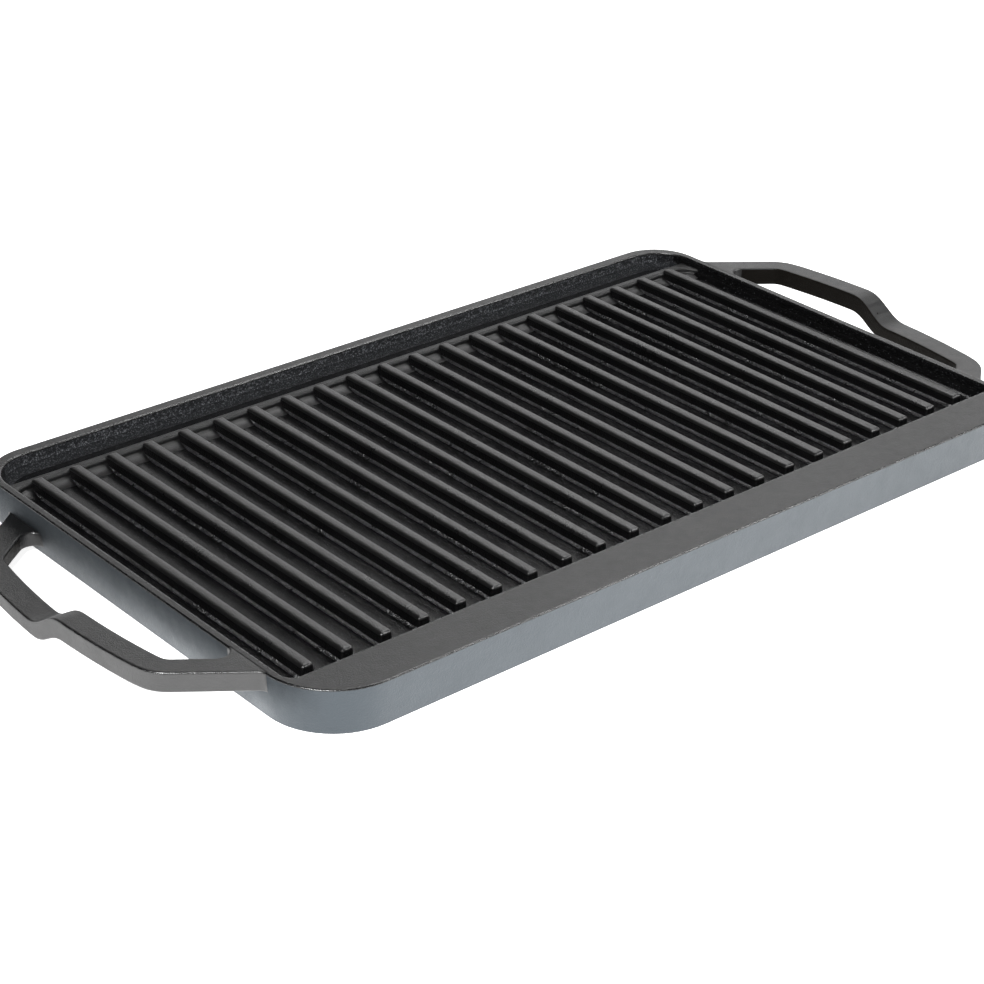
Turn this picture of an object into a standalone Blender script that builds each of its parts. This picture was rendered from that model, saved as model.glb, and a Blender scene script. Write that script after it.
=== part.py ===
"""Cast-iron reversible griddle: a ribbed grill face above, a flat griddle face below,
and a bowed loop handle at each end.

Metres, +Z up, origin at the centre of the footprint on the surface it rests on.
+X runs along the long side, +Y from the wide front bank to the grease gutter.
The real object is one casting. It is divided here where its features meet, and
the pieces seat face to face.
"""
import math

import bmesh
import bpy
from mathutils import Vector

# Body
BODY_LENGTH = 0.4154
BODY_WIDTH = 0.2508
BODY_HEIGHT = 0.0205
CORNER_RADIUS = 0.0235
DRAFT = 0.0012                # outer wall, inward at the bottom
EDGE_RADIUS = 0.0010          # rounding of every rim edge

# Walls and the two faces
SIDE_WALL = 0.0040
FAR_WALL = 0.0058
NEAR_WALL = 0.0048            # front wall beside the griddle recess
BANK_WIDTH = 0.0230           # flat strip along the front of the grill face
GRILL_DEPTH = 0.0080          # rim top down to the floor between the ribs
WEB_THICKNESS = 0.0045        # iron between the two faces
POCKET_CORNER = 0.0055        # front corners of the grill pocket
FLOOR_FILLET = 0.0044         # wall to grill floor
RECESS_INSET = 0.0008         # griddle recess inside the grill pocket, per side
SEAT_LIP = 0.0003             # wall beyond the griddle recess that carries the web
SPLIT_CLEARANCE = 0.0015      # straight wall kept on each corner piece

# Grease channel of the griddle face, in the thickness of the bank
CHANNEL_WIDTH = 0.0100
CHANNEL_RISE = 0.0060         # above the griddle face
CHANNEL_END = 0.0120          # iron left at each end, from the recess wall

# Ribs and ledge
RIB_COUNT = 21
SIDE_GAP = 0.01255            # outer rib to the side wall
RIB_TOP_WIDTH = 0.0055
RIB_HEIGHT = 0.0050
RIB_DRAFT = 0.0005            # per side
RIB_FOOT = 0.0010             # fillet at the base
RIB_ROUND = 0.0009            # top edges
RIB_NEAR_GAP = 0.0078         # bank edge to the rib ends
LEDGE_WIDTH = 0.0070
LEDGE_DROP = 0.0006           # below the rib tops
LEDGE_END_GAP = 0.0054        # ledge to the side walls
LEDGE_END_FILLET = 0.0060     # in plan, where its front face turns along the wall
GUTTER_WIDTH = 0.0150         # ledge to far wall

# Handles
HANDLE_REACH = 0.0399         # beyond the body
HANDLE_BOW = 0.3500           # radius of the bowed grip, in plan
GRIP_WIDTH = 0.0114
GRIP_THICKNESS = 0.0090
LOW_WIDTH = 0.0124            # the half of the bar that steps down
LOW_THICKNESS = 0.0069
STEP_DROP = 0.0103            # from the grip's top to the low half's top
STEP_LENGTH = 0.0250
STEP_SHIFT = 0.0014           # middle of the step, toward the low half
ROOT_CLEARANCE = 0.0105       # straight side wall left between arm and corner
ARM_SPREAD_OUTER = 0.0258     # how far along Y the arm's outer edge runs out to the wall
ARM_SPREAD_INNER = 0.0177
KNEE_SETBACK = 0.0050         # inner bend nearer the middle than the outer one
LOW_KNEE_SHIFT = 0.0022       # the low half's outer bend and root lie further out
KNEE_RADIUS_OUTER = 0.0190
KNEE_RADIUS_INNER = 0.0060
ROOT_FILLET = 0.0050          # arm to body wall, inside the loop
ROOT_FILLET_OUTER = 0.0040    # arm to body wall, outside it
HANDLE_ROUND = 0.0010

CORNER_STEPS = 8
ARC_STEPS = 4
ROUND = 0.5                   # bevel profile of a circular round

# Levels and lines that follow from the sizes above
HALF_X = BODY_LENGTH / 2
HALF_Y = BODY_WIDTH / 2
FLOOR_Z = BODY_HEIGHT - GRILL_DEPTH
GRIDDLE_Z = FLOOR_Z - WEB_THICKNESS
POCKET_X = HALF_X - SIDE_WALL
POCKET_NEAR = -HALF_Y + BANK_WIDTH
POCKET_FAR = HALF_Y - FAR_WALL
POCKET_FAR_CORNER = CORNER_RADIUS - SIDE_WALL
RECESS_FILLET = FLOOR_FILLET - RECESS_INSET - SEAT_LIP
RECESS_X = POCKET_X - RECESS_INSET
RECESS_NEAR = -HALF_Y + NEAR_WALL
RECESS_FAR = POCKET_FAR - RECESS_INSET
SPLIT_NEAR = POCKET_NEAR + POCKET_CORNER + SPLIT_CLEARANCE
SPLIT_FAR = min(POCKET_FAR - POCKET_FAR_CORNER, HALF_Y - CORNER_RADIUS) - SPLIT_CLEARANCE
RIB_NEAR = POCKET_NEAR + RIB_NEAR_GAP
LEDGE_BACK = POCKET_FAR - GUTTER_WIDTH
LEDGE_FRONT = LEDGE_BACK - LEDGE_WIDTH
RIB_SPAN = 2 * (POCKET_X - SIDE_GAP) - RIB_TOP_WIDTH
RIB_PITCH = RIB_SPAN / (RIB_COUNT - 1)
REACH_X = HALF_X + HANDLE_REACH
KNEE = HALF_Y - CORNER_RADIUS - ROOT_CLEARANCE - ARM_SPREAD_OUTER


def clear_scene():
    for obj in list(bpy.data.objects):
        bpy.data.objects.remove(obj, do_unlink=True)


def iron(name, shade, roughness, metallic):
    mat = bpy.data.materials.new(name)
    mat.use_nodes = True
    bsdf = mat.node_tree.nodes["Principled BSDF"]
    bsdf.inputs["Base Color"].default_value = (shade, shade, shade * 1.03, 1.0)
    bsdf.inputs["Roughness"].default_value = roughness
    bsdf.inputs["Metallic"].default_value = metallic
    return mat


def add_mesh(name, bm, collection, material, smooth_angle=35.0):
    """Turn a bmesh into a named object in the collection."""
    bmesh.ops.recalc_face_normals(bm, faces=bm.faces[:])
    if bm.calc_volume(signed=True) < 0:
        bmesh.ops.reverse_faces(bm, faces=bm.faces[:])
    mesh = bpy.data.meshes.new(name)
    bm.to_mesh(mesh)
    bm.free()
    mesh.materials.append(material)
    mesh.shade_smooth()
    mesh.set_sharp_from_angle(angle=math.radians(smooth_angle))
    obj = bpy.data.objects.new(name, mesh)
    collection.objects.link(obj)
    return obj


def outline(half_x, near_y, far_y, near_r, far_r, z):
    """Rounded rectangle, counter-clockwise, CORNER_STEPS segments in each corner."""
    corners = (
        (half_x - near_r, near_y + near_r, near_r, -90.0),
        (half_x - far_r, far_y - far_r, far_r, 0.0),
        (-half_x + far_r, far_y - far_r, far_r, 90.0),
        (-half_x + near_r, near_y + near_r, near_r, 180.0),
    )
    points = []
    for cx, cy, r, start in corners:
        for i in range(CORNER_STEPS + 1):
            a = math.radians(start + 90.0 * i / CORNER_STEPS)
            points.append((cx + r * math.cos(a), cy + r * math.sin(a), z))
    return points


def outer_outline(inset, z):
    """Outer wall at height z, moved in by inset and by the draft at that height."""
    d = inset + DRAFT * (BODY_HEIGHT - z) / BODY_HEIGHT
    r = CORNER_RADIUS - d
    return outline(HALF_X - d, -HALF_Y + d, HALF_Y - d, r, r, z)


def pocket_outline(inset, z):
    """Grill pocket at height z: small corners at the bank, large ones at the gutter."""
    return outline(POCKET_X - inset, POCKET_NEAR + inset, POCKET_FAR - inset,
                   POCKET_CORNER - inset, POCKET_FAR_CORNER - inset, z)


def recess_outline(inset, z):
    """Griddle recess at height z."""
    r = POCKET_FAR_CORNER - RECESS_INSET - inset
    return outline(RECESS_X - inset, RECESS_NEAR + inset, RECESS_FAR - inset, r, r, z)


def rounded_edge(radius):
    """Offsets (from the side face, from the end face) around a quarter-round edge."""
    steps = [i / 2 for i in range(3)]
    return [(radius * (1 - math.cos(math.radians(90 * t))),
             radius * (1 - math.sin(math.radians(90 * t)))) for t in steps]


def loft(bm, loops, closed):
    """Skin outlines that have equal numbers of points, the last to the first if closed."""
    rings = [[bm.verts.new(p) for p in points] for points in loops]
    pairs = list(zip(rings, rings[1:]))
    if closed:
        pairs.append((rings[-1], rings[0]))
    for a, b in pairs:
        for i in range(len(a)):
            bm.faces.new((a[i - 1], a[i], b[i], b[i - 1]))
    return rings


def frame_mesh():
    """The whole wall as one ring: outer face, rim, grill pocket, web seat, recess."""
    top = BODY_HEIGHT
    edge = rounded_edge(EDGE_RADIUS)
    loops = []
    for side, end in reversed(edge):
        loops.append(outer_outline(side, end))
    for side, end in edge:
        loops.append(outer_outline(side, top - end))
    for side, end in reversed(edge):
        loops.append(pocket_outline(-side, top - end))
    for i in range(ARC_STEPS + 1):
        a = math.radians(90 * i / ARC_STEPS)
        inset = FLOOR_FILLET * (1 - math.cos(a))
        loops.append(pocket_outline(inset, FLOOR_Z + FLOOR_FILLET * (1 - math.sin(a))))
    loops.append(pocket_outline(FLOOR_FILLET, GRIDDLE_Z))
    for i in range(ARC_STEPS, -1, -1):
        a = math.radians(90 * i / ARC_STEPS)
        inset = RECESS_FILLET * (1 - math.cos(a))
        loops.append(recess_outline(inset, GRIDDLE_Z - RECESS_FILLET * (1 - math.sin(a))))
    for side, end in edge:
        loops.append(recess_outline(-side, end))
    bm = bmesh.new()
    loft(bm, loops, closed=True)
    return bm


def cut_off(bm, y, keep_above):
    """Cut the mesh flat at y, drop one side and close the cut."""
    geom = bm.verts[:] + bm.edges[:] + bm.faces[:]
    cut = bmesh.ops.bisect_plane(bm, geom=geom, dist=1e-7, plane_co=(0, y, 0),
                                 plane_no=(0, 1, 0), clear_inner=keep_above,
                                 clear_outer=not keep_above)
    edges = [e for e in cut["geom_cut"] if isinstance(e, bmesh.types.BMEdge)]
    for vert in {v for e in edges for v in e.verts}:
        vert.co.y = y
    bmesh.ops.holes_fill(bm, edges=edges, sides=0)


def keep_side(bm, positive):
    """Drop the faces on the other side of x = 0 from a mesh in two separate halves."""
    drop = [v for v in bm.verts if (v.co.x > 0) != positive]
    bmesh.ops.delete(bm, geom=drop, context="VERTS")


def make_walls(collection, material):
    bank = frame_mesh()
    cut_off(bank, SPLIT_NEAR, keep_above=False)
    bank_obj = add_mesh("front_bank", bank, collection, material)
    far = frame_mesh()
    cut_off(far, SPLIT_FAR, keep_above=True)
    add_mesh("far_wall", far, collection, material)
    for name, positive in (("left_wall", False), ("right_wall", True)):
        side = frame_mesh()
        geom = side.verts[:] + side.edges[:] + side.faces[:]
        bmesh.ops.bisect_plane(side, geom=geom, dist=1e-7, plane_co=(0, 0, 0),
                               plane_no=(1, 0, 0), clear_inner=positive,
                               clear_outer=not positive)
        keep_side(side, positive)
        cut_off(side, SPLIT_NEAR, keep_above=True)
        cut_off(side, SPLIT_FAR, keep_above=False)
        add_mesh(name, side, collection, material)
    return bank_obj


def cut_channel(bank, cutters):
    """Sink the griddle face's grease channel up into the bank, with rounded edges."""
    length = 2 * (RECESS_X - CHANNEL_END)
    near = RECESS_NEAR + RECESS_FILLET
    low = GRIDDLE_Z - 0.002
    bm = bmesh.new()
    bmesh.ops.create_cube(bm, size=1.0)
    bmesh.ops.scale(bm, vec=(length, CHANNEL_WIDTH, GRIDDLE_Z + CHANNEL_RISE - low),
                    verts=bm.verts[:])
    bmesh.ops.translate(bm, vec=(0, near + CHANNEL_WIDTH / 2,
                                 (GRIDDLE_Z + CHANNEL_RISE + low) / 2), verts=bm.verts[:])
    upright = [e for e in bm.edges if abs(e.verts[0].co.z - e.verts[1].co.z) > 1e-5]
    bmesh.ops.bevel(bm, geom=upright, offset=CHANNEL_WIDTH * 0.42, segments=4, profile=ROUND,
                    affect="EDGES")
    roof = max(v.co.z for v in bm.verts)
    lid = [e for e in bm.edges if min(v.co.z for v in e.verts) > roof - 1e-6]
    bmesh.ops.bevel(bm, geom=lid, offset=CHANNEL_WIDTH * 0.25, segments=2, profile=ROUND,
                    affect="EDGES")
    cutter = add_mesh("channel_cutter", bm, cutters, bank.data.materials[0])
    cutter.hide_render = True
    cutter.display_type = "WIRE"
    cut = bank.modifiers.new("grease channel", "BOOLEAN")
    cut.operation = "DIFFERENCE"
    cut.solver = "EXACT"
    cut.object = cutter


def make_plate(collection, material):
    """The web between the faces, edge to edge with the walls' fillets."""
    bm = bmesh.new()
    levels = (GRIDDLE_Z, FLOOR_Z)
    lower, upper = loft(bm, [pocket_outline(FLOOR_FILLET, z) for z in levels], closed=False)
    bm.faces.new(lower)
    bm.faces.new(upper)
    return add_mesh("cooking_plate", bm, collection, material)


def bar(width, height, draft, foot, length, top_round, round_far):
    """A tapered rib along +Y from y = 0 on z = 0, with foot fillets and a rounded top."""
    half = width / 2
    section = []
    for i in range(3):
        a = math.radians(90 * i / 2)
        section.append((half + draft + foot * (1 - math.sin(a)), foot * (1 - math.cos(a))))
    section.append((half, height))
    profile = section + [(-x, z) for x, z in reversed(section)]
    bm = bmesh.new()
    face = bm.faces.new([bm.verts.new((x, 0.0, z)) for x, z in profile])
    grown = bmesh.ops.extrude_face_region(bm, geom=[face])
    moved = [v for v in grown["geom"] if isinstance(v, bmesh.types.BMVert)]
    bmesh.ops.translate(bm, vec=(0, length, 0), verts=moved)
    chosen = []
    for e in bm.edges:
        a, b = e.verts[0].co, e.verts[1].co
        if min(a.z, b.z) < height - 1e-6:
            continue
        at_far = min(a.y, b.y) > length - 1e-6
        if not at_far or round_far:
            chosen.append(e)
    bmesh.ops.bevel(bm, geom=chosen, offset=top_round, segments=2, profile=ROUND,
                    affect="EDGES")
    return bm


def make_ribs(collection, material):
    bm = bar(RIB_TOP_WIDTH, RIB_HEIGHT, RIB_DRAFT, RIB_FOOT, LEDGE_FRONT - RIB_NEAR,
             RIB_ROUND, round_far=False)
    first = add_mesh("grill_rib_01", bm, collection, material)
    ribs = [first]
    for n in range(2, RIB_COUNT + 1):
        rib = bpy.data.objects.new("grill_rib_%02d" % n, first.data)
        collection.objects.link(rib)
        ribs.append(rib)
    for n, rib in enumerate(ribs):
        rib.location = ((n - (RIB_COUNT - 1) / 2) * RIB_PITCH, RIB_NEAR, FLOOR_Z)
    return ribs


def make_ledge(collection, material):
    """The low bar that ties the ribs' far ends and turns along each side wall."""
    reach = POCKET_X - LEDGE_END_GAP
    height = RIB_HEIGHT - LEDGE_DROP
    half = [(reach, LEDGE_BACK)]
    for i in range(CORNER_STEPS + 1):
        a = math.radians(90.0 * i / CORNER_STEPS)
        half.append((reach - LEDGE_END_FILLET * (1 - math.cos(a)),
                     LEDGE_FRONT - LEDGE_END_FILLET * (1 - math.sin(a))))
    corners = half + [(-x, y) for x, y in reversed(half)]
    bm = bmesh.new()
    face = bm.faces.new([bm.verts.new((x, y, FLOOR_Z)) for x, y in corners])
    grown = bmesh.ops.extrude_face_region(bm, geom=[face])
    moved = [v for v in grown["geom"] if isinstance(v, bmesh.types.BMVert)]
    bmesh.ops.translate(bm, vec=(0, 0, height), verts=moved)
    lid = [e for e in bm.edges if min(v.co.z for v in e.verts) > FLOOR_Z + height / 2]
    bmesh.ops.bevel(bm, geom=lid, offset=RIB_ROUND, segments=2, profile=ROUND,
                    affect="EDGES")
    return add_mesh("rear_ledge", bm, collection, material)


def arc_between(before, corner, after, radius, steps):
    """Points of the round that joins two straight lines at a corner."""
    a = (before - corner).normalized()
    b = (after - corner).normalized()
    half = a.angle(b) / 2
    run = radius / math.tan(half)
    start = corner + a * run
    centre = corner + (a + b).normalized() * (radius / math.sin(half))
    first = start - centre
    sweep = math.pi - 2 * half
    if a.x * b.y - a.y * b.x > 0:
        sweep = -sweep
    points = []
    for i in range(steps + 1):
        t = sweep * i / steps
        c, s = math.cos(t), math.sin(t)
        points.append(centre + Vector((first.x * c - first.y * s, first.x * s + first.y * c)))
    return points


def spread(start, end, steps):
    """Points strictly between two others."""
    return [start.lerp(end, i / steps) for i in range(1, steps)]


def bow(reach, y):
    """X of a bowed edge whose furthest point is at y = 0."""
    return reach - (HANDLE_BOW - math.sqrt(HANDLE_BOW ** 2 - y * y))


def arm_edges(side, outer_reach, inner_reach):
    """Inner and outer edge of one half of the handle in plan, from wall to middle.

    side is +1 for the half that carries the grip and -1 for the one that steps down.
    """
    inner_y = KNEE - KNEE_SETBACK
    outer_y = KNEE if side > 0 else KNEE + LOW_KNEE_SHIFT
    knee_out = Vector((bow(outer_reach, outer_y), side * outer_y))
    knee_in = Vector((bow(inner_reach, inner_y), side * inner_y))
    root_out = Vector((HALF_X, side * (outer_y + ARM_SPREAD_OUTER)))
    root_in = Vector((HALF_X, side * (inner_y + ARM_SPREAD_INNER)))
    wall_in = Vector((HALF_X, 0.0))
    wall_out = Vector((HALF_X, side * HALF_Y))
    straight_out = Vector((bow(outer_reach, outer_y * 0.6), side * outer_y * 0.6))
    straight_in = Vector((bow(inner_reach, inner_y * 0.6), side * inner_y * 0.6))
    root_arc_in = arc_between(wall_in, root_in, knee_in, ROOT_FILLET, 8)
    root_arc_out = arc_between(wall_out, root_out, knee_out, ROOT_FILLET_OUTER, 8)
    knee_arc_in = arc_between(root_in, knee_in, straight_in, KNEE_RADIUS_INNER, 6)
    knee_arc_out = arc_between(root_out, knee_out, straight_out, KNEE_RADIUS_OUTER, 6)
    inner = root_arc_in + spread(root_arc_in[-1], knee_arc_in[0], 3) + knee_arc_in
    outer = root_arc_out + spread(root_arc_out[-1], knee_arc_out[0], 3) + knee_arc_out
    return inner, outer


def step_at(y):
    """0 on the grip, 1 on the low half, and a smooth S between them."""
    t = ((-y - STEP_SHIFT) / STEP_LENGTH) + 0.5
    t = min(1.0, max(0.0, t))
    return t * t * t * (t * (t * 6 - 15) + 10)


def handle_mesh():
    """Right handle as a loft of rounded oblongs, from the far root to the near one."""
    high_in, high_out = arm_edges(1, REACH_X, REACH_X - GRIP_WIDTH)
    low_in, low_out = arm_edges(-1, REACH_X, REACH_X - LOW_WIDTH)
    middle = 26
    start, stop = high_out[-1].y, low_out[-1].y
    start_in, stop_in = high_in[-1].y, low_in[-1].y
    mid_in, mid_out = [], []
    for i in range(1, middle):
        t = i / middle
        y = start + (stop - start) * t
        y_in = start_in + (stop_in - start_in) * t
        width = GRIP_WIDTH + (LOW_WIDTH - GRIP_WIDTH) * step_at(y)
        mid_out.append(Vector((bow(REACH_X, y), y)))
        mid_in.append(Vector((bow(REACH_X - width, y_in), y_in)))
    inner = high_in + mid_in + low_in[::-1]
    outer = high_out + mid_out + low_out[::-1]
    bm = bmesh.new()
    edge = rounded_edge(HANDLE_ROUND)
    rings = []
    for k, (p_in, p_out) in enumerate(zip(inner, outer)):
        drop = step_at((p_in.y + p_out.y) / 2)
        top = BODY_HEIGHT - STEP_DROP * drop
        low = top - (GRIP_THICKNESS + (LOW_THICKNESS - GRIP_THICKNESS) * drop)
        across = (p_out - p_in).normalized()
        ring = []
        for side, end in edge:
            ring.append((p_in + across * side, top - end))
        for side, end in reversed(edge):
            ring.append((p_out - across * side, top - end))
        for side, end in edge:
            ring.append((p_out - across * side, low + end))
        for side, end in reversed(edge):
            ring.append((p_in + across * side, low + end))
        seated = k in (0, len(inner) - 1)
        verts = []
        for p, z in ring:
            wall = HALF_X - DRAFT * (BODY_HEIGHT - z) / BODY_HEIGHT
            x = wall if seated else p.x
            verts.append(bm.verts.new((x, p.y, z)))
        rings.append(verts)
    count = len(rings[0])
    for a, b in zip(rings, rings[1:]):
        for i in range(count):
            bm.faces.new((a[i - 1], a[i], b[i], b[i - 1]))
    bm.faces.new(rings[0])
    bm.faces.new(rings[-1])
    return bm


def make_handles(collection, material):
    """Two equal handles, one turned half round from the other."""
    right = add_mesh("right_handle", handle_mesh(), collection, material)
    bm = bmesh.new()
    bm.from_mesh(right.data)
    for v in bm.verts:
        v.co.x, v.co.y = -v.co.x, -v.co.y
    add_mesh("left_handle", bm, collection, material)


def main():
    clear_scene()
    scene = bpy.context.scene
    griddle = bpy.data.collections.new("reversible_griddle")
    cutters = bpy.data.collections.new("reversible_griddle_cutters")
    scene.collection.children.link(griddle)
    scene.collection.children.link(cutters)
    wall_iron = iron("seasoned_iron_wall", 0.050, 0.50, 0.35)
    face_iron = iron("seasoned_iron_face", 0.030, 0.55, 0.35)
    rib_iron = iron("seasoned_iron_rib", 0.040, 0.45, 0.35)
    handle_iron = iron("seasoned_iron_handle", 0.055, 0.50, 0.35)
    bank = make_walls(griddle, wall_iron)
    cut_channel(bank, cutters)
    make_plate(griddle, face_iron)
    make_ledge(griddle, rib_iron)
    make_ribs(griddle, rib_iron)
    make_handles(griddle, handle_iron)


main()
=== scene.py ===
"""Cast-iron reversible griddle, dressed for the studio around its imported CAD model."""
import math

import bpy
import numpy as np
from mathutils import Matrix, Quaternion, Vector


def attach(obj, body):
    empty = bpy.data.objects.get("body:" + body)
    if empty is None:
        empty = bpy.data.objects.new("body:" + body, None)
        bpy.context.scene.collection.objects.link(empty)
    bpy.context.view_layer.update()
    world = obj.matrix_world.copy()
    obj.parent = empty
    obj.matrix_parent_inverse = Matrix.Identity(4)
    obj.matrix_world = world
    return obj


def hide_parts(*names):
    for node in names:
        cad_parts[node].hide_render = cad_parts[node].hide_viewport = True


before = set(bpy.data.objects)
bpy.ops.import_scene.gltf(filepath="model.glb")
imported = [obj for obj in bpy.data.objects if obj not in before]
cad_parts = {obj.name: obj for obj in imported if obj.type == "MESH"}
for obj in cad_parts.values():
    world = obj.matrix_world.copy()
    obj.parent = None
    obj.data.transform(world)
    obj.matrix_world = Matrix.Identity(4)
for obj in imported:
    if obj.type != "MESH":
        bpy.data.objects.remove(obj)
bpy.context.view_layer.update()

scene = bpy.context.scene
scene.view_settings.view_transform = "Standard"

# Camera
# Stands at the photograph's place, in front of the left end and above it, with a
# long lens, and is turned about its own axis by a degree as the photograph is.
azimuth = math.radians(48.99)
elevation = math.radians(27.81)
roll = math.radians(1.11)
look = Vector((math.cos(elevation) * math.cos(azimuth),
               math.cos(elevation) * math.sin(azimuth), -math.sin(elevation)))
camera = bpy.data.objects.new("camera", bpy.data.cameras.new("camera"))
camera.data.lens = 88.80
camera.data.sensor_width = 36.0
camera.data.shift_x = 0.0019
camera.location = (-0.6497, -0.7271, 0.5042)
camera.rotation_mode = "QUATERNION"
camera.rotation_quaternion = (look.to_track_quat("-Z", "Y")
                              @ Quaternion((0.0, 0.0, 1.0), roll))
scene.collection.objects.link(camera)
scene.camera = camera

# Studio
# A plain white floor that glows, as a light table does, most of all in front of the
# griddle. Under and inside its handles the glow is dimmed in patches, which are painted
# shadows that the iron reflects. The room is bright low down at the front right. A wide
# soft box stands behind, and three small ones give the edges their glints.


def map_range(tree, value, before, after=(0.0, 1.0), smooth=False):
    """Value moved from the range before to the range after, evenly or along a smoothstep."""
    node = tree.nodes.new("ShaderNodeMapRange")
    node.interpolation_type = "SMOOTHSTEP" if smooth else "LINEAR"
    for socket, number in zip(("From Min", "From Max", "To Min", "To Max"), before + after):
        node.inputs[socket].default_value = number
    tree.links.new(value, node.inputs["Value"])
    return node.outputs["Result"]


def maths(tree, operation, *values):
    """One sum over the outputs of other nodes."""
    node = tree.nodes.new("ShaderNodeMath")
    node.operation = operation
    for value, socket in zip(values, node.inputs):
        tree.links.new(value, socket)
    return node.outputs["Value"]


floor_mesh = bpy.data.meshes.new("floor")
floor_mesh.from_pydata([(-9, -9, 0), (9, -9, 0), (9, 9, 0), (-9, 9, 0)], [], [(0, 1, 2, 3)])
floor = bpy.data.objects.new("floor", floor_mesh)
scene.collection.objects.link(floor)
floor_paint = bpy.data.materials.new("white_sweep")
floor_paint.use_nodes = True
floor_bsdf = floor_paint.node_tree.nodes["Principled BSDF"]
floor_bsdf.inputs["Base Color"].default_value = (0.80, 0.80, 0.80, 1.0)
floor_bsdf.inputs["Roughness"].default_value = 0.9
floor_bsdf.inputs["Specular IOR Level"].default_value = 0.0
floor_bsdf.inputs["Emission Color"].default_value = (1.0, 1.0, 1.0, 1.0)
sweep = floor_paint.node_tree
where = sweep.nodes.new("ShaderNodeTexCoord").outputs["Object"]
ahead = sweep.nodes.new("ShaderNodeVectorMath")
ahead.operation = "DOT_PRODUCT"
ahead.inputs[1].default_value = (0.28, 1.0, 0.0)
sweep.links.new(where, ahead.inputs[0])
glow = map_range(sweep, ahead.outputs["Value"], (-0.15, 0.02), (2.50, 1.04), smooth=True)
# Each patch dims the glow around a spot under or inside a handle: a painted shadow.
for middle, size, shadow_share in (((0.2200, 0.0, 0.0), (0.0125, 0.1100, 1.0), 0.10),
                            ((-0.2300, 0.0, 0.0), (0.0165, 0.0850, 1.0), 0.95),
                            ((-0.2700, 0.0500, 0.0), (0.1000, 0.1500, 1.0), 0.82),
                            ((-0.2275, -0.028, 0.0), (0.0095, 0.0320, 1.0), 0.15)):
    shadow_patch = sweep.nodes.new("ShaderNodeMapping")
    shadow_patch.vector_type = "TEXTURE"
    shadow_patch.inputs["Location"].default_value = middle
    shadow_patch.inputs["Scale"].default_value = size
    sweep.links.new(where, shadow_patch.inputs["Vector"])
    away = sweep.nodes.new("ShaderNodeVectorMath")
    away.operation = "LENGTH"
    sweep.links.new(shadow_patch.outputs["Vector"], away.inputs[0])
    painted_shadow = map_range(sweep, away.outputs["Value"], (0.55, 1.0), (shadow_share, 1.0), smooth=True)
    glow = maths(sweep, "MULTIPLY", glow, painted_shadow)
sweep.links.new(glow, floor_bsdf.inputs["Emission Strength"])
floor_mesh.materials.append(floor_paint)

world = bpy.data.worlds.new("studio")
world.use_nodes = True
air = world.node_tree
heading = air.nodes.new("ShaderNodeTexCoord")
split = air.nodes.new("ShaderNodeSeparateXYZ")
room = air.nodes.new("ShaderNodeValToRGB")
room.color_ramp.elements[0].position = 0.0
room.color_ramp.elements[0].color = (1.0, 1.0, 1.0, 1.0)
room.color_ramp.elements[1].position = 0.34
room.color_ramp.elements[1].color = (0.10, 0.10, 0.10, 1.0)
side = air.nodes.new("ShaderNodeVectorMath")
side.operation = "DOT_PRODUCT"
side.inputs[1].default_value = (0.71, -0.70, 0.0)
air.links.new(heading.outputs["Generated"], split.inputs["Vector"])
air.links.new(heading.outputs["Generated"], side.inputs[0])
air.links.new(split.outputs["Z"], room.inputs["Fac"])
air.links.new(room.outputs["Color"], air.nodes["Background"].inputs["Color"])
air.links.new(map_range(air, side.outputs["Value"], (-0.30, 0.70), (0.12, 1.40)),
              air.nodes["Background"].inputs["Strength"])
scene.world = world


def soft_box(name, place, size, power):
    """An area light at place that faces the middle of the griddle."""
    lamp = bpy.data.lights.new(name, "AREA")
    lamp.shape = "RECTANGLE"
    lamp.size, lamp.size_y = size
    lamp.energy = power
    box = bpy.data.objects.new(name, lamp)
    box.location = place
    box.rotation_mode = "QUATERNION"
    box.rotation_quaternion = (-Vector(place)).to_track_quat("-Z", "Y")
    scene.collection.objects.link(box)


soft_box("back_box", (1.46, 1.76, 0.60), (3.2, 1.0), 13.6)
soft_box("right_box", (0.75, 0.53, 1.31), (0.7, 0.5), 7.0)
soft_box("front_box", (0.88, -0.74, 0.96), (0.35, 0.35), 9.0)
soft_box("key_box", (-1.46, -0.74, 1.47), (0.35, 0.35), 45.0)

# Body
# The casting's tray: outer wall with a little draft, level rim with the wide front bank,
# grill pocket with a cove at its foot, web, and the griddle face's recess underneath.
# Cast in sand in one pour with all the rest, then ground, seasoned and baked black.
HEIGHT = 0.0205
HALF_X = 0.2077
HALF_Y = 0.1254
CORNER_NEAR = 0.0330
CORNER_FAR = 0.0235
DRAFT = 0.0012
RIM_ROUND = 0.0008
POCKET_X = 0.2037
POCKET_NEAR = -0.1024
POCKET_FAR = 0.1196
POCKET_CORNER = 0.0055
POCKET_FAR_CORNER = 0.0195
COVE = 0.0044
FLOOR_Z = 0.0125
GRIDDLE_Z = 0.0080
RECESS_X = 0.2029
RECESS_NEAR = -0.1206
RECESS_FAR = 0.1188
RECESS_CORNER_NEAR = 0.0285
RECESS_CORNER_FAR = 0.0187
RECESS_COVE = 0.0033
CHANNEL_HALF = 0.1820
CHANNEL_NEAR = -0.1173
CHANNEL_FAR = -0.1073
CHANNEL_RISE = 0.0060
CHANNEL_CORNER = 0.0042
CHANNEL_MOUTH = 0.0008        # rounding of its edges at the griddle face
CHANNEL_ROUND = 0.0030        # and along its roof
HOLD = 0.0003                 # extra outline this far from a round, to keep the flat flat
SHARP = math.radians(50.0)    # edges that turn by more than this stay sharp
GUTTER_START = 0.1060         # the grease gutter and the far wall lie behind this
FAR_WALL_START = 0.0026       # above the web, where the cove has become the upright wall


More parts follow.
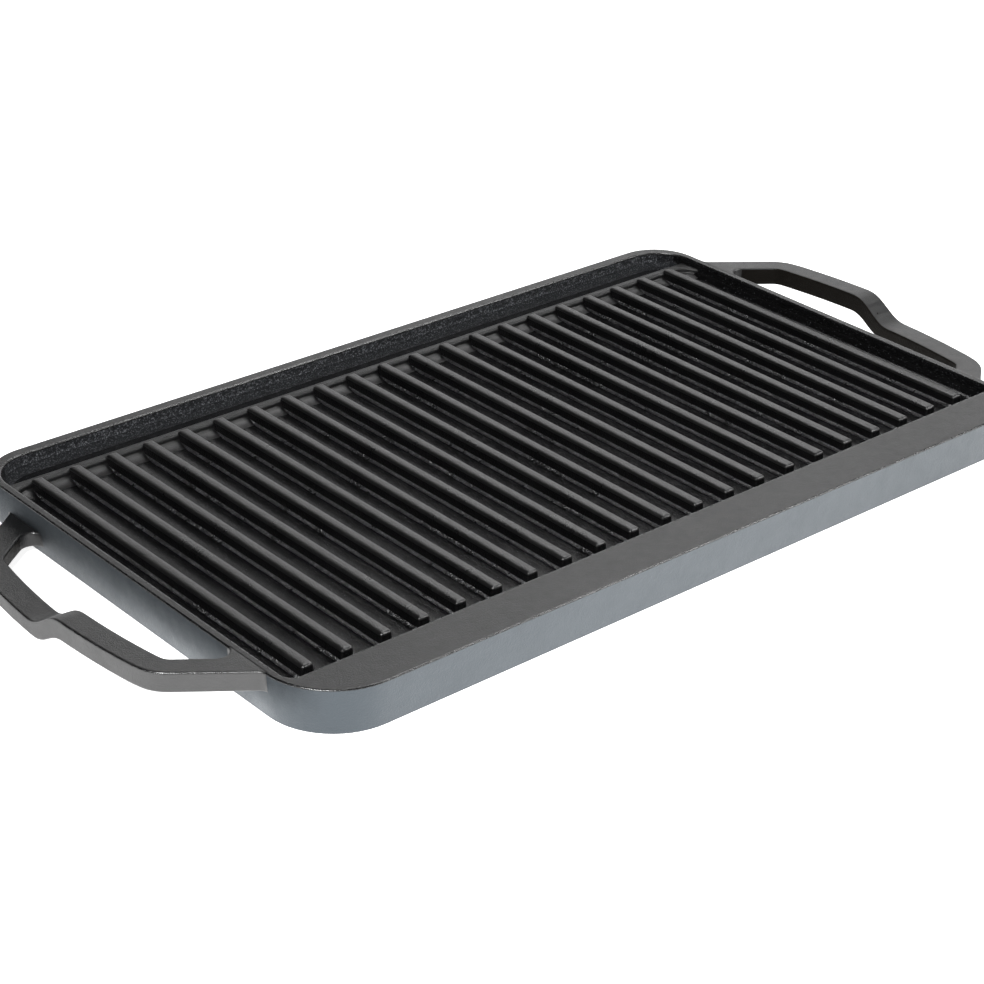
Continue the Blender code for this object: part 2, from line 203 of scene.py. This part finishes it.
def rounded_rectangles(rows, side=24, turn=14):
    """Grid of points on a stack of rounded rectangles.

    Each row is half length, near y, far y, near corner radius, far corner radius, z.
    A corner point is its arc's centre plus radius times (cos a, sin a); the straight
    sides are evenly divided. Every outline runs counter-clockwise from the same corner.
    """
    rows = np.asarray(rows, dtype=float)
    half, near, far, near_r, far_r, z = rows.T[:, :, None]
    angle = np.linspace(0.0, np.pi / 2, turn + 1)[None, :]
    corners = ((half - near_r, near + near_r, near_r, -np.pi / 2),
               (half - far_r, far - far_r, far_r, 0.0),
               (-half + far_r, far - far_r, far_r, np.pi / 2),
               (-half + near_r, near + near_r, near_r, np.pi))
    arcs = [np.stack([cx + r * np.cos(angle + start), cy + r * np.sin(angle + start)], -1)
            for cx, cy, r, start in corners]
    share = np.linspace(0.0, 1.0, side + 1)[None, 1:-1, None]
    pieces = []
    for arc, following in zip(arcs, arcs[1:] + arcs[:1]):
        pieces += [arc, arc[:, -1:] * (1 - share) + following[:, :1] * share]
    plan = np.concatenate(pieces, axis=1)
    height = np.broadcast_to(z[:, :, None], plan.shape[:2] + (1,))
    return np.concatenate([plan, height], axis=2)


def skin(name, grid, finishes, bands=None):
    """Closed mesh over a grid whose rows are closed loops, with a flat cap at each end.

    bands gives, for each cap and each band between rows, which finish it has.
    """
    m, n = grid.shape[:2]
    index = np.arange(m * n).reshape(m, n)
    here, above = index[:-1], index[1:]
    quads = np.stack([here, np.roll(here, -1, 1), np.roll(above, -1, 1), above], -1)
    faces = quads.reshape(-1, 4).tolist() + [index[0, ::-1].tolist(), index[-1].tolist()]
    mesh = bpy.data.meshes.new(name)
    mesh.from_pydata(grid.reshape(-1, 3).tolist(), [], faces)
    for finish in finishes:
        mesh.materials.append(finish)
    if bands is not None:
        first, *middle, last = bands
        kinds = np.concatenate([np.repeat(middle, n), [first, last]])
        mesh.polygons.foreach_set("material_index", kinds.astype(np.int32))
    mesh.update()
    mesh.shade_smooth()
    mesh.set_sharp_from_angle(angle=SHARP)
    obj = bpy.data.objects.new(name, mesh)
    scene.collection.objects.link(obj)
    return obj


DRIFT_SCALE = 38.0            # patches of baked oil, about 26 mm across
SWELL_SCALE = 190.0           # unevenness left by the mould, about 5 mm across
SHADE_DRIFT = 0.3             # share by which the colour drifts
POLISH_DRIFT = 0.06           # and by how much the roughness does
DULL_ACROSS = (0.1960, 0.2065)
DULL_UP = (0.0030, 0.0185)


def seasoned_iron(name, gloss, roughness, grain=0.00012, swell=0.00010, sand_scale=1500.0,
                  shade=(0.0030, 0.0030, 0.0032), tint=(1.0, 1.0, 1.0), specks_and_glints=0.0, sparse=0.62,
                  dull_ends=0.0):
    """Baked oil, nearly black, over sand-cast iron.

    Colour and polish drift with slow noise. Height is fine sand grain, about half a
    millimetre across, on broad swells some ten times wider. specks is the grey painted on
    the grains that stand up highest: partly bare iron showing through the oil where it isn't
    ground, partly painted glints that such grain would catch. sparse is the height of grain
    above which they show. dull_ends is the roughness that burnt-on oil adds at both ends of
    the body: it grows over DULL_ACROSS along the length, and over DULL_UP from the foot of
    the wall to the rim.
    """
    mat = bpy.data.materials.new(name)
    mat.use_nodes = True
    tree = mat.node_tree
    nodes = tree.nodes
    link = tree.links.new
    bsdf = nodes["Principled BSDF"]
    bsdf.inputs["Metallic"].default_value = 0.0
    bsdf.inputs["IOR"].default_value = 1.62
    bsdf.inputs["Specular IOR Level"].default_value = gloss
    bsdf.inputs["Specular Tint"].default_value = (*tint, 1.0)
    place = nodes.new("ShaderNodeTexCoord").outputs["Object"]

    def noise(scale, detail, rough):
        node = nodes.new("ShaderNodeTexNoise")
        node.inputs["Scale"].default_value = scale
        node.inputs["Detail"].default_value = detail
        node.inputs["Roughness"].default_value = rough
        link(place, node.inputs["Vector"])
        return node.outputs["Fac"]

    drift = noise(DRIFT_SCALE, 4.0, 0.6)
    fine = noise(sand_scale, 3.0, 0.6)
    broad = noise(SWELL_SCALE, 3.0, 0.55)

    colour = nodes.new("ShaderNodeValToRGB")
    for element, position, strength in zip(colour.color_ramp.elements, (0.3, 0.7),
                                           (1 - SHADE_DRIFT, 1 + SHADE_DRIFT)):
        element.position = position
        element.color = (*[v * strength for v in shade], 1.0)
    link(drift, colour.inputs["Fac"])
    coat = colour.outputs["Color"]
    # Grey flecks on the highest grain: partly bare iron, partly painted glints.
    if specks_and_glints:
        worn_and_glints = nodes.new("ShaderNodeMix")
        worn_and_glints.data_type = "RGBA"
        worn_and_glints.inputs["B"].default_value = (specks_and_glints, specks_and_glints * 1.03, specks_and_glints * 1.10, 1.0)
        link(map_range(tree, fine, (sparse, sparse + 0.20), smooth=True),
             worn_and_glints.inputs["Factor"])
        link(coat, worn_and_glints.inputs["A"])
        coat = worn_and_glints.outputs["Result"]
    link(coat, bsdf.inputs["Base Color"])

    rough = map_range(tree, maths(tree, "ADD", drift, broad), (0.7, 1.3),
                      (roughness - POLISH_DRIFT, roughness + POLISH_DRIFT))
    if dull_ends:
        split = nodes.new("ShaderNodeSeparateXYZ")
        link(place, split.inputs["Vector"])
        off_centre = maths(tree, "ABSOLUTE", split.outputs["X"])
        dull = maths(tree, "MULTIPLY",
                     map_range(tree, off_centre, DULL_ACROSS, (0.0, dull_ends)),
                     map_range(tree, split.outputs["Z"], DULL_UP))
        rough = maths(tree, "ADD", rough, dull)
    link(rough, bsdf.inputs["Roughness"])

    swells = nodes.new("ShaderNodeBump")
    swells.inputs["Distance"].default_value = swell
    link(broad, swells.inputs["Height"])
    sand = nodes.new("ShaderNodeBump")
    sand.inputs["Distance"].default_value = grain
    link(fine, sand.inputs["Height"])
    link(swells.outputs["Normal"], sand.inputs["Normal"])
    link(sand.outputs["Normal"], bsdf.inputs["Normal"])
    return mat


def outer_row(inset, z):
    """Outer wall moved in by inset, and by the draft that its height gives."""
    d = inset + DRAFT * (HEIGHT - z) / HEIGHT
    return (HALF_X - d, -HALF_Y + d, HALF_Y - d, CORNER_NEAR - d, CORNER_FAR - d, z)


def pocket_row(inset, z):
    """Grill pocket's wall moved in by inset."""
    return (POCKET_X - inset, POCKET_NEAR + inset, POCKET_FAR - inset,
            POCKET_CORNER - inset, POCKET_FAR_CORNER - inset, z)


def recess_row(inset, z):
    """Wall of the griddle face's recess moved in by inset."""
    return (RECESS_X - inset, RECESS_NEAR + inset, RECESS_FAR - inset,
            RECESS_CORNER_NEAR - inset, RECESS_CORNER_FAR - inset, z)


def quarter(radius, steps):
    """Pairs (radius (1 - cos a), radius (1 - sin a)) for a from 0 to 90 degrees."""
    a = np.linspace(0.0, np.pi / 2, steps + 1)
    return list(zip(radius * (1 - np.cos(a)), radius * (1 - np.sin(a))))


def face_normals(mesh):
    """Unit normal of each face, one row each."""
    facing = np.empty(len(mesh.polygons) * 3)
    mesh.polygons.foreach_get("normal", facing)
    return facing.reshape(-1, 3)


rim = quarter(RIM_ROUND, 6)
POCKET, RIM, SKIRT, GRIDDLE, EDGE, FAR, SHADED_GUTTER = range(7)
body_finishes = [
    seasoned_iron("iron_pocket", 0.42, 0.20, grain=0.00012, swell=0.00008, sand_scale=1200.0,
                  specks_and_glints=0.12, sparse=0.60),
    seasoned_iron("iron_rim", 0.51, 0.40, grain=0.00014),
    seasoned_iron("iron_skirt", 0.54, 0.36, grain=0.00016, tint=(0.76, 0.89, 1.0),
                  dull_ends=0.48),
    seasoned_iron("iron_griddle", 0.50, 0.38),
    seasoned_iron("iron_edge", 0.70, 0.26, grain=0.00012),
    seasoned_iron("iron_far_wall", 0.36, 0.50, grain=0.00060, swell=0.00006,
                  sand_scale=1400.0, tint=(0.86, 0.92, 1.0), specks_and_glints=0.20, sparse=0.50),
    seasoned_iron("iron_gutter_painted_shade", 0.16, 0.50, grain=0.00050, swell=0.00006,
                  sand_scale=1400.0, tint=(0.86, 0.92, 1.0), specks_and_glints=0.07, sparse=0.50),
]
body_rows = [pocket_row(COVE + HOLD, FLOOR_Z)]
body_rows += [pocket_row(d, FLOOR_Z + h) for d, h in reversed(quarter(COVE, 8))]
body_rows += [pocket_row(0.0, FLOOR_Z + COVE + HOLD),
              pocket_row(0.0, HEIGHT - RIM_ROUND - HOLD)]
pocket_end = len(body_rows)
body_rows += [pocket_row(-d, HEIGHT - h) for d, h in rim]
flat_start = len(body_rows)
body_rows += [pocket_row(-RIM_ROUND - HOLD, HEIGHT), outer_row(RIM_ROUND + HOLD, HEIGHT)]
flat_end = len(body_rows)
body_rows += [outer_row(d, HEIGHT - h) for d, h in reversed(rim)]
rim_end = len(body_rows)
body_rows += [outer_row(0.0, HEIGHT - RIM_ROUND - HOLD), outer_row(0.0, RIM_ROUND + HOLD)]
body_rows += [outer_row(d, h) for d, h in rim]
skirt_end = len(body_rows)
body_rows += [recess_row(-d, h) for d, h in reversed(rim)]
body_rows += [recess_row(0.0, RIM_ROUND + HOLD),
              recess_row(0.0, GRIDDLE_Z - RECESS_COVE - HOLD)]
body_rows += [recess_row(d, GRIDDLE_Z - h) for d, h in quarter(RECESS_COVE, 6)]
body_rows += [recess_row(RECESS_COVE + HOLD, GRIDDLE_Z)]
starts = [(0, POCKET), (pocket_end, EDGE), (flat_start + 1, RIM), (flat_end + 1, EDGE),
          (rim_end - 1, SKIRT), (skirt_end, GRIDDLE)]
body_bands = np.zeros(len(body_rows) + 1, dtype=int)
for start, kind in starts:
    body_bands[start:] = kind
body = skin("griddle_body", rounded_rectangles(body_rows[::-1]), body_finishes,
            body_bands[::-1])

# The grease channel is cut out of the bank's underside. Its cutter starts a millimetre
# below the griddle face.
sections = [(CHANNEL_MOUTH, -0.001)] + quarter(CHANNEL_MOUTH, 3)[::-1]
sections += [(-d, CHANNEL_RISE - h) for d, h in quarter(CHANNEL_ROUND, 5)]
trough = skin("trough", rounded_rectangles(
    [(CHANNEL_HALF + d, CHANNEL_NEAR - d, CHANNEL_FAR + d, CHANNEL_CORNER + d,
      CHANNEL_CORNER + d, GRIDDLE_Z + h) for d, h in sections]), body_finishes[GRIDDLE:EDGE])
cut = body.modifiers.new("grease channel", "BOOLEAN")
cut.operation = "DIFFERENCE"
cut.solver = "EXACT"
cut.object = trough
cut_mesh = bpy.data.meshes.new_from_object(
    body.evaluated_get(bpy.context.evaluated_depsgraph_get()))
body.modifiers.clear()
body.data = cut_mesh
body.data.shade_smooth()
body.data.set_sharp_from_angle(angle=SHARP)
bpy.data.objects.remove(trough, do_unlink=True)

# Behind the ledge no grinder reaches, so the cove and the far wall keep the sand's grain,
# apart from the faces that turn round the corners into the side walls. The cove, and the
# far wall where it begins to turn, get a dimmer finish, which is painted shade in the
# gutter's hollow and corners.
count = len(body.data.polygons)
centre = np.empty(count * 3)
kinds = np.empty(count, dtype=np.int32)
body.data.polygons.foreach_get("center", centre)
body.data.polygons.foreach_get("material_index", kinds)
y, z = centre.reshape(-1, 3)[:, 1:].T
sideways = np.abs(face_normals(body.data)[:, 0])
behind = (kinds == POCKET) & (y > GUTTER_START)
kinds[behind & (z > FLOOR_Z + 0.00002) & (sideways < 0.9)] = SHADED_GUTTER
kinds[behind & (z > FLOOR_Z + FAR_WALL_START) & (sideways < 0.6)] = FAR
body.data.polygons.foreach_set("material_index", kinds)

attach(body, "root")
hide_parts("front_bank", "far_wall", "left_wall", "right_wall", "cooking_plate")

# Grill ribs
# Tapered bars of the same iron, cast on the web, each with a fillet at its foot, rounded
# top edges, a blunt near end and a far end that runs a little way over the ledge.
RIB_COUNT = 21
RIB_PITCH = 0.01892
RIB_SHIFT = 0.0002            # the whole row stands this far to the right of centre
RIB_HALF = 0.00275
RIB_NEAR = -0.0946
RIB_FAR = 0.1012
RIB_TOP = 0.0180
RIB_DRAFT = 0.0004
RIB_FOOT = 0.0013
RIB_ROUND = 0.0012
RIB_NEAR_TURN = 0.0013        # radius of the near end's corners, in plan
RIB_FAR_TURN = 0.0008
LEAST_TURN = 0.0002
CROWN_FADE = 0.14             # tilt over which the crown's flat middle gives way
CROWN_REACH = 0.1356          # brings the crown's flat part out to the rib's full width
SUNK = 0.0004                 # ribs and ledge go this far into the web


def rib_row(grow, z):
    """Plan of a rib at height z, grown by grow all round."""
    return (RIB_HALF + grow, RIB_NEAR - grow, RIB_FAR + grow,
            max(RIB_NEAR_TURN + grow, LEAST_TURN), max(RIB_FAR_TURN + grow, LEAST_TURN), z)


def rib_grow(z):
    """Draft that a rib has gained at height z, in a straight line from its top."""
    return RIB_DRAFT * (RIB_TOP - z) / (RIB_TOP - FLOOR_Z)


def rib_crown():
    """Pairs (distance in from the rib's side, distance down from its top).

    The surface tilts from level to upright. Its radius of curvature is RIB_ROUND plus a
    term that fades with tilt as exp(-tilt / CROWN_FADE), so the middle is nearly flat.
    The steps along and down are radius times cos and sin of the tilt, added up.
    """
    tilt = np.linspace(0.0, np.pi / 2, 91)
    middle = (tilt[1:] + tilt[:-1]) / 2
    radius = RIB_ROUND + (RIB_HALF - RIB_ROUND) / CROWN_REACH * np.exp(-tilt / CROWN_FADE)
    arc = (radius[1:] + radius[:-1]) / 2 * (tilt[1] - tilt[0])
    along = np.concatenate([[0.0], np.cumsum(arc * np.cos(middle))])
    down = np.concatenate([[0.0], np.cumsum(arc * np.sin(middle))])
    kept = (90, 78, 66, 54, 43, 33, 24, 17, 11, 7, 4)
    return [(RIB_HALF - along[k], down[k]) for k in kept]


rib_rows = [rib_row(RIB_DRAFT + RIB_FOOT, FLOOR_Z - SUNK)]
rib_rows += [rib_row(rib_grow(FLOOR_Z + h) + d, FLOOR_Z + h)
             for h, d in quarter(RIB_FOOT, 5)]
foot_end = len(rib_rows)
rib_rows += [rib_row(rib_grow(FLOOR_Z + RIB_FOOT + HOLD), FLOOR_Z + RIB_FOOT + HOLD)]
rib_rows += [rib_row(-d, RIB_TOP - h) for d, h in rib_crown()]
rib_grid = rounded_rectangles(rib_rows, side=6, turn=5)
TOP, SHADED_SIDE, FOOT_GLINTS = range(3)
rib_iron = [seasoned_iron("iron_rib", 0.62, 0.32, grain=0.00018, swell=0.00005),
            # The sides' finish reflects far less than the top's: painted shade on the rib's
            # upright sides and ends.
            seasoned_iron("iron_rib_side_painted_shade", 0.12, 0.36, grain=0.00030),
            # The fillet at the foot reflects more than the top and is flecked with grey:
            # painted glints along it, over a real coarse grain.
            seasoned_iron("iron_rib_foot_painted_glints", 0.95, 0.30, grain=0.00060, swell=0.00012,
                          sand_scale=1300.0, specks_and_glints=0.14, sparse=0.52)]
rib_bands = np.full(len(rib_rows) + 1, TOP)
rib_bands[:foot_end + 2] = SHADED_SIDE
rib_bands[2:foot_end - 1] = FOOT_GLINTS       # the fillet, apart from its first and last rows
for number in range(RIB_COUNT):
    name = "grill_rib_%02d" % (number + 1)
    x = (number - (RIB_COUNT - 1) / 2) * RIB_PITCH + RIB_SHIFT
    rib = skin(name + "_cast", rib_grid + np.array([x, 0.0, 0.0]), rib_iron, rib_bands)
    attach(rib, "root")
    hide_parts(name)

# Rear ledge
# The bar of the same iron that ties the ribs' far ends, cast into both side walls, where
# its front face turns along the wall in a round corner.
LEDGE_FRONT = 0.0998
LEDGE_BACK = 0.1046
LEDGE_TOP = 0.0169
LEDGE_TURN = 0.0100
LEDGE_ROUND = 0.0016
LEDGE_RAMP = 0.0092           # the web sweeps up to the bar's front over this length
LEDGE_COVE = 0.0040           # behind it, in the gutter
LEDGE_STEP = 0.0008           # upright part of the front, above the sweep
LEDGE_END = 0.0012            # how far its ends lie inside the side walls


def ledge_rows(inset, z):
    """Grid of ledge outlines: each is the front line with its turned ends, and the back
    line between them, all moved inward by inset. The ends lie inside the side walls.

    A turned end is its arc's centre plus LEDGE_TURN + inset times (sin a, cos a).
    """
    inset = np.asarray(inset)[:, None]
    behind = np.where(inset < 0, inset * LEDGE_COVE / LEDGE_RAMP, inset)
    z = np.asarray(z)[:, None]
    wall = POCKET_X + LEDGE_END
    a = np.linspace(0.0, np.pi / 2, 17)[None, :]
    turn = LEDGE_TURN + inset
    arc_x = POCKET_X - LEDGE_TURN + turn * np.sin(a)
    arc_y = LEDGE_FRONT - LEDGE_TURN + turn * np.cos(a)
    front_x = np.linspace(0.0, 1.0, 9)[None, :-1] * (POCKET_X - LEDGE_TURN) + 0 * inset
    front_y = LEDGE_FRONT + inset + 0 * front_x
    right_x = np.concatenate([front_x, np.minimum(arc_x, wall), wall + 0 * inset], 1)
    right_y = np.concatenate([front_y, arc_y, LEDGE_BACK - behind], 1)
    x = np.concatenate([right_x, -right_x[:, ::-1]], 1)
    y = np.concatenate([right_y, right_y[:, ::-1]], 1)
    return np.stack([x, y, z + 0 * x], -1)


foot = np.array(quarter(LEDGE_RAMP, 12))
edge = np.array(quarter(LEDGE_ROUND, 5))
edge_z = LEDGE_TOP - edge[:, 1]
rise = foot[:, 0] * (LEDGE_TOP - LEDGE_ROUND - LEDGE_STEP - FLOOR_Z) / LEDGE_RAMP
ledge_inset = np.concatenate([[-LEDGE_RAMP], -foot[:, 1], edge[:, 0], [LEDGE_ROUND + HOLD]])
ledge_z = np.concatenate([[FLOOR_Z - SUNK], FLOOR_Z + rise, edge_z, [LEDGE_TOP]])
LEDGE, RAMP, RAMP_LOW, WEB = range(4)
ledge_bands = np.full(len(ledge_z) + 1, LEDGE)
ledge_bands[:len(foot)] = RAMP
ledge_bands[:7] = RAMP_LOW             # the sweep's lower rows, and below them the web's
ledge_bands[:4] = WEB                  # own finish, so that no line shows where it starts
ledge = skin("rear_ledge_cast", ledge_rows(ledge_inset, ledge_z),
             [seasoned_iron("iron_ledge", 0.44, 0.40, grain=0.00030, swell=0.00016),
              seasoned_iron("iron_ramp", 0.56, 0.42, grain=0.00016),
              seasoned_iron("iron_ramp_low", 0.50, 0.32, grain=0.00014),
              body_finishes[POCKET]], ledge_bands)
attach(ledge, "root")
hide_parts("rear_ledge")

# Handles
# A flat bar of the same iron, bowed outward at each end of the body. One half is the grip,
# level with the rim; the other steps down by an S to run beneath it. Both arms spread into
# the wall that they are cast on.
REACH_X = 0.2476
BOW = 0.350
GRIP_WIDTH = 0.0114
GRIP_THICK = 0.0090
LOW_WIDTH = 0.0124
LOW_THICK = 0.0069
STEP_DROP = 0.0103
STEP_LENGTH = 0.0285
STEP_SHIFT = -0.0004
UNDER_LENGTH = 0.0250         # the underside's step is shorter, and nearer to the grip
UNDER_SHIFT = -0.0027
KNEE = 0.0656
LOW_KNEE = 0.0678
KNEE_IN = 0.0606
KNEE_AIM = 0.6                # a knee turns toward the bow at this share of its own y
SPREAD_OUT = 0.0258
SPREAD_IN = 0.0177
KNEE_R_OUT = 0.0190
KNEE_R_IN = 0.0060
ROOT_R = 0.0050
ROOT_R_OUT = 0.0040
BAR_ROUND = 0.0009
ROOT_DEPTH = 0.0012           # how far the arm's end lies inside the wall
ROOT_THICK = 0.9              # share of its thickness that the end keeps in there
LEAN_REACH = 0.015            # the arm leans with the wall's draft as far out as this


def bow(reach, y):
    """Distance out of the bowed line at y: a circle of radius BOW that peaks at reach."""
    return reach - (BOW - np.sqrt(BOW ** 2 - y * y))


def corner_arc(before, corner, after, radius, steps):
    """Points of the arc of this radius that touches both lines meeting at corner.

    Its centre lies on the bisector, radius / sin(half the angle) from the corner. Its first
    point, radius / tan(half the angle) along the first line, is turned about that centre.
    """
    before, corner, after = (np.array(p, dtype=float) for p in (before, corner, after))
    a = (before - corner) / np.linalg.norm(before - corner)
    b = (after - corner) / np.linalg.norm(after - corner)
    half = np.arccos(a @ b) / 2
    centre = corner + (a + b) / np.linalg.norm(a + b) * radius / np.sin(half)
    first = corner + a * radius / np.tan(half) - centre
    turn = -np.sign(a[0] * b[1] - a[1] * b[0]) * (np.pi - 2 * half)
    t = np.linspace(0.0, turn, steps + 1)
    return centre + np.stack([first[0] * np.cos(t) - first[1] * np.sin(t),
                              first[0] * np.sin(t) + first[1] * np.cos(t)], -1)


def edge_line(reach, knee, root, wall, root_r, knee_r):
    """One edge of a half handle in plan, for +Y: an arc out of the wall, a straight
    arm, and the arc of the knee, which ends on the bowed line of this reach."""
    corner = (bow(reach, knee), knee)
    grip = (bow(reach, knee * KNEE_AIM), knee * KNEE_AIM)
    out = corner_arc((HALF_X, wall), (HALF_X, root), corner, root_r, 12)
    bend = corner_arc((HALF_X, root), corner, grip, knee_r, 12)
    t = np.linspace(0.0, 1.0, 11)[1:-1, None]
    return np.concatenate([out, out[-1] * (1 - t) + bend[0] * t, bend])


def normals(line):
    """Unit normals to the left of a line of points.

    The direction at a point is the mean of its two steps; (-y, x) of it is the normal.
    """
    step = np.diff(line, axis=0)
    step /= np.linalg.norm(step, axis=1)[:, None]
    along = np.concatenate([step[:1], step[:-1] + step[1:], step[-1:]])
    along /= np.linalg.norm(along, axis=1)[:, None]
    return np.stack([-along[:, 1], along[:, 0]], -1)


def stepped(y, length, shift):
    """The step's S, from 0 on the grip to 1 on the low half: 6t^5 - 15t^4 + 10t^3."""
    t = np.clip((-y - shift) / length + 0.5, 0.0, 1.0)
    return t ** 3 * (t * (t * 6 - 15) + 10)


def handle_grid():
    """Right handle: a rounded oblong section carried along the bar.

    Both edges of the bar are plan curves; a point of the section lies d inside its edge
    along the edge's normal. The section's top drops along the step's S, and its underside
    along an S of its own, begun nearer to the grip, so that the slope is as thick as the
    rest. Near the body the section leans with the wall's draft.
    """
    inside = (GRIP_WIDTH, LOW_WIDTH, KNEE_IN, KNEE_IN, SPREAD_IN, 0.0, ROOT_R, KNEE_R_IN)
    outside = (0.0, 0.0, KNEE, LOW_KNEE, SPREAD_OUT, HALF_Y, ROOT_R_OUT, KNEE_R_OUT)
    edges = []
    for width, low_width, knee, low_knee, spread, wall, *radii in (inside, outside):
        high = edge_line(REACH_X - width, knee, knee + spread, wall, *radii)
        low = edge_line(REACH_X - low_width, low_knee, low_knee + spread, wall, *radii)
        low = low[::-1] * np.array([1.0, -1.0])
        y = np.linspace(high[-1, 1], low[0, 1], 81)[1:-1]
        growth = (low_width - width) * stepped(y, STEP_LENGTH, STEP_SHIFT)
        x = bow(REACH_X - width - growth, y)
        edges.append(np.concatenate([high, np.stack([x, y], -1), low]))
    inner, outer = edges
    inward = normals(inner)[:, None], -normals(outer)[:, None]

    y = (inner[:, 1:] + outer[:, 1:]) / 2
    top = HEIGHT - STEP_DROP * stepped(y, STEP_LENGTH, STEP_SHIFT)
    under_drop = STEP_DROP + LOW_THICK - GRIP_THICK
    low = HEIGHT - GRIP_THICK - under_drop * stepped(y, UNDER_LENGTH, UNDER_SHIFT)
    a = np.linspace(0.0, np.pi / 2, 6)
    d = np.concatenate([[0.0], BAR_ROUND * (1 - np.cos(a)), [BAR_ROUND + HOLD]])
    h = np.concatenate([[BAR_ROUND + HOLD], BAR_ROUND * (1 - np.sin(a)), [0.0]])
    plan = [inner[:, None] + inward[0] * d[None, :, None],
            outer[:, None] + inward[1] * d[None, ::-1, None],
            outer[:, None] + inward[1] * d[None, :, None],
            inner[:, None] + inward[0] * d[None, ::-1, None]]
    z = np.concatenate([top - h, top - h[::-1], low + h, low + h[::-1]], 1)
    grid = np.concatenate([np.concatenate(plan, 1), z[..., None]], 2)
    lean = np.clip(1 - (grid[..., 0] - HALF_X) / LEAN_REACH, 0.0, 1.0)
    grid[..., 0] -= lean * DRAFT * (HEIGHT - grid[..., 2]) / HEIGHT
    ends = grid[[0, -1]]
    ends[..., 0] = HALF_X - DRAFT - ROOT_DEPTH
    middle = (top + low)[[0, -1]] / 2
    ends[..., 2] = middle + (ends[..., 2] - middle) * ROOT_THICK
    return np.concatenate([ends[:1], grid, ends[1:]])


# Finishes by facing: the sides and underside reflect less than the top, and the faces toward
# the body least and tinted brown. This is painted shade, deepest on the insides.
BAR_TOP, BAR_SHADED_SIDE, BAR_SHADED_INSIDE, BAR_EDGE = range(4)
handle_iron = [seasoned_iron("iron_handle", 0.71, 0.42, grain=0.00018),
               seasoned_iron("iron_handle_side_painted_shade", 0.50, 0.44, grain=0.00016),
               seasoned_iron("iron_handle_inside_painted_shade", 0.10, 0.50, grain=0.00030,
                             shade=(0.0034, 0.0027, 0.0020), tint=(1.0, 0.93, 0.84)),
               seasoned_iron("iron_handle_edge", 0.70, 0.30, grain=0.00012)]
for name, turned in (("right_handle", 1.0), ("left_handle", -1.0)):
    handle = skin(name + "_cast", handle_grid()[::-1] * np.array([turned, turned, 1.0]),
                  handle_iron)
    facing = face_normals(handle.data)
    kinds = np.select([facing[:, 0] * turned < -0.55, facing[:, 2] < 0.3, facing[:, 2] < 0.85],
                      [BAR_SHADED_INSIDE, BAR_SHADED_SIDE, BAR_EDGE], BAR_TOP)
    handle.data.polygons.foreach_set("material_index", kinds.astype(np.int32))
    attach(handle, "root")
    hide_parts(name)
